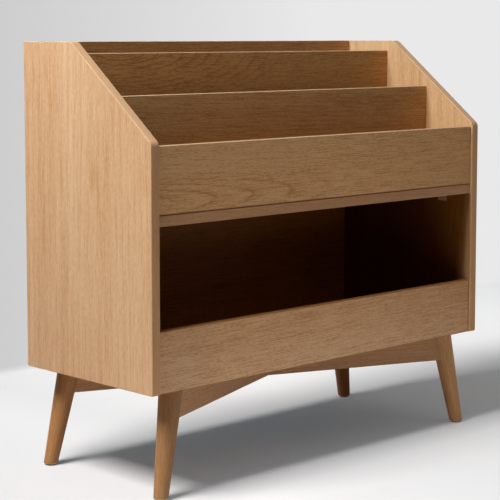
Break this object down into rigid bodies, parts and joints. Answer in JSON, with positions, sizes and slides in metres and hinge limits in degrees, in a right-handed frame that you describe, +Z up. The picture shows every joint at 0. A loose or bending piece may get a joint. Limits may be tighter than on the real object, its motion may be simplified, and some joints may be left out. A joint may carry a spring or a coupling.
{
  "type": "picture book browser bin",
  "caption": "Oak-veneered picture book browser: stepped upright slots between sloping sides, over an open bin with a low front lip, on splayed tapered legs with crossed stretchers.",
  "frame": {"origin": "on the floor, under the middle of the case", "axes": "+X to the object's right as seen from the front, +Y from front to rear, +Z up"},
  "size_m": [0.914, 0.373, 0.823],
  "materials": {
    "oak_veneer": "satin",
    "solid_oak": "satin",
    "beech": "matte",
    "zinc_steel": "satin",
    "brass": "satin",
    "bronzed_steel": "satin",
    "nylon": "matte"
  },
  "bodies": {
    "root": {"left_side_panel": "oak_veneer", "right_side_panel": "oak_veneer", "bottom_panel": "oak_veneer", "bin_lip": "oak_veneer", "slot_shelf": "oak_veneer", "slot_front_panel": "oak_veneer", "middle_divider": "oak_veneer", "rear_divider": "oak_veneer", "upper_back_panel": "oak_veneer", "lower_back_panel": "oak_veneer", "leg_front_left": "solid_oak", "leg_front_right": "solid_oak", "leg_back_left": "solid_oak", "leg_back_right": "solid_oak", "stretcher_front_left_to_back_right": "solid_oak", "stretcher_front_right_to_back_left": "solid_oak", "foot_glide_front_left": "nylon", "foot_glide_front_right": "nylon", "foot_glide_back_left": "nylon", "foot_glide_back_right": "nylon", "leg_bolt_front_left": "zinc_steel", "leg_bolt_front_right": "zinc_steel", "leg_bolt_back_left": "zinc_steel", "leg_bolt_back_right": "zinc_steel", "leg_insert_front_left": "brass", "leg_insert_front_right": "brass", "leg_insert_back_left": "brass", "leg_insert_back_right": "brass", "stretcher_dowel_front_left": "beech", "stretcher_dowel_front_right": "beech", "stretcher_dowel_back_left": "beech", "stretcher_dowel_back_right": "beech", "cam_lock_front_left": "zinc_steel", "cam_lock_front_right": "zinc_steel", "cam_lock_back_left": "zinc_steel", "cam_lock_back_right": "zinc_steel", "cam_bolt_front_left": "zinc_steel", "cam_bolt_front_right": "zinc_steel", "cam_bolt_back_left": "zinc_steel", "cam_bolt_back_right": "zinc_steel", "shelf_bracket_front_left": "bronzed_steel", "shelf_bracket_front_right": "bronzed_steel", "shelf_bracket_back_left": "bronzed_steel", "shelf_bracket_back_right": "bronzed_steel", "front_panel_dowel_lower_left": "beech", "front_panel_dowel_lower_right": "beech", "front_panel_dowel_upper_left": "beech", "front_panel_dowel_upper_right": "beech", "lip_dowel_lower_left": "beech", "lip_dowel_lower_right": "beech", "lip_dowel_upper_left": "beech", "lip_dowel_upper_right": "beech", "upper_back_dowel_lower_left": "beech", "upper_back_dowel_lower_right": "beech", "upper_back_dowel_upper_left": "beech", "upper_back_dowel_upper_right": "beech"}
  },
  "joints": []
}
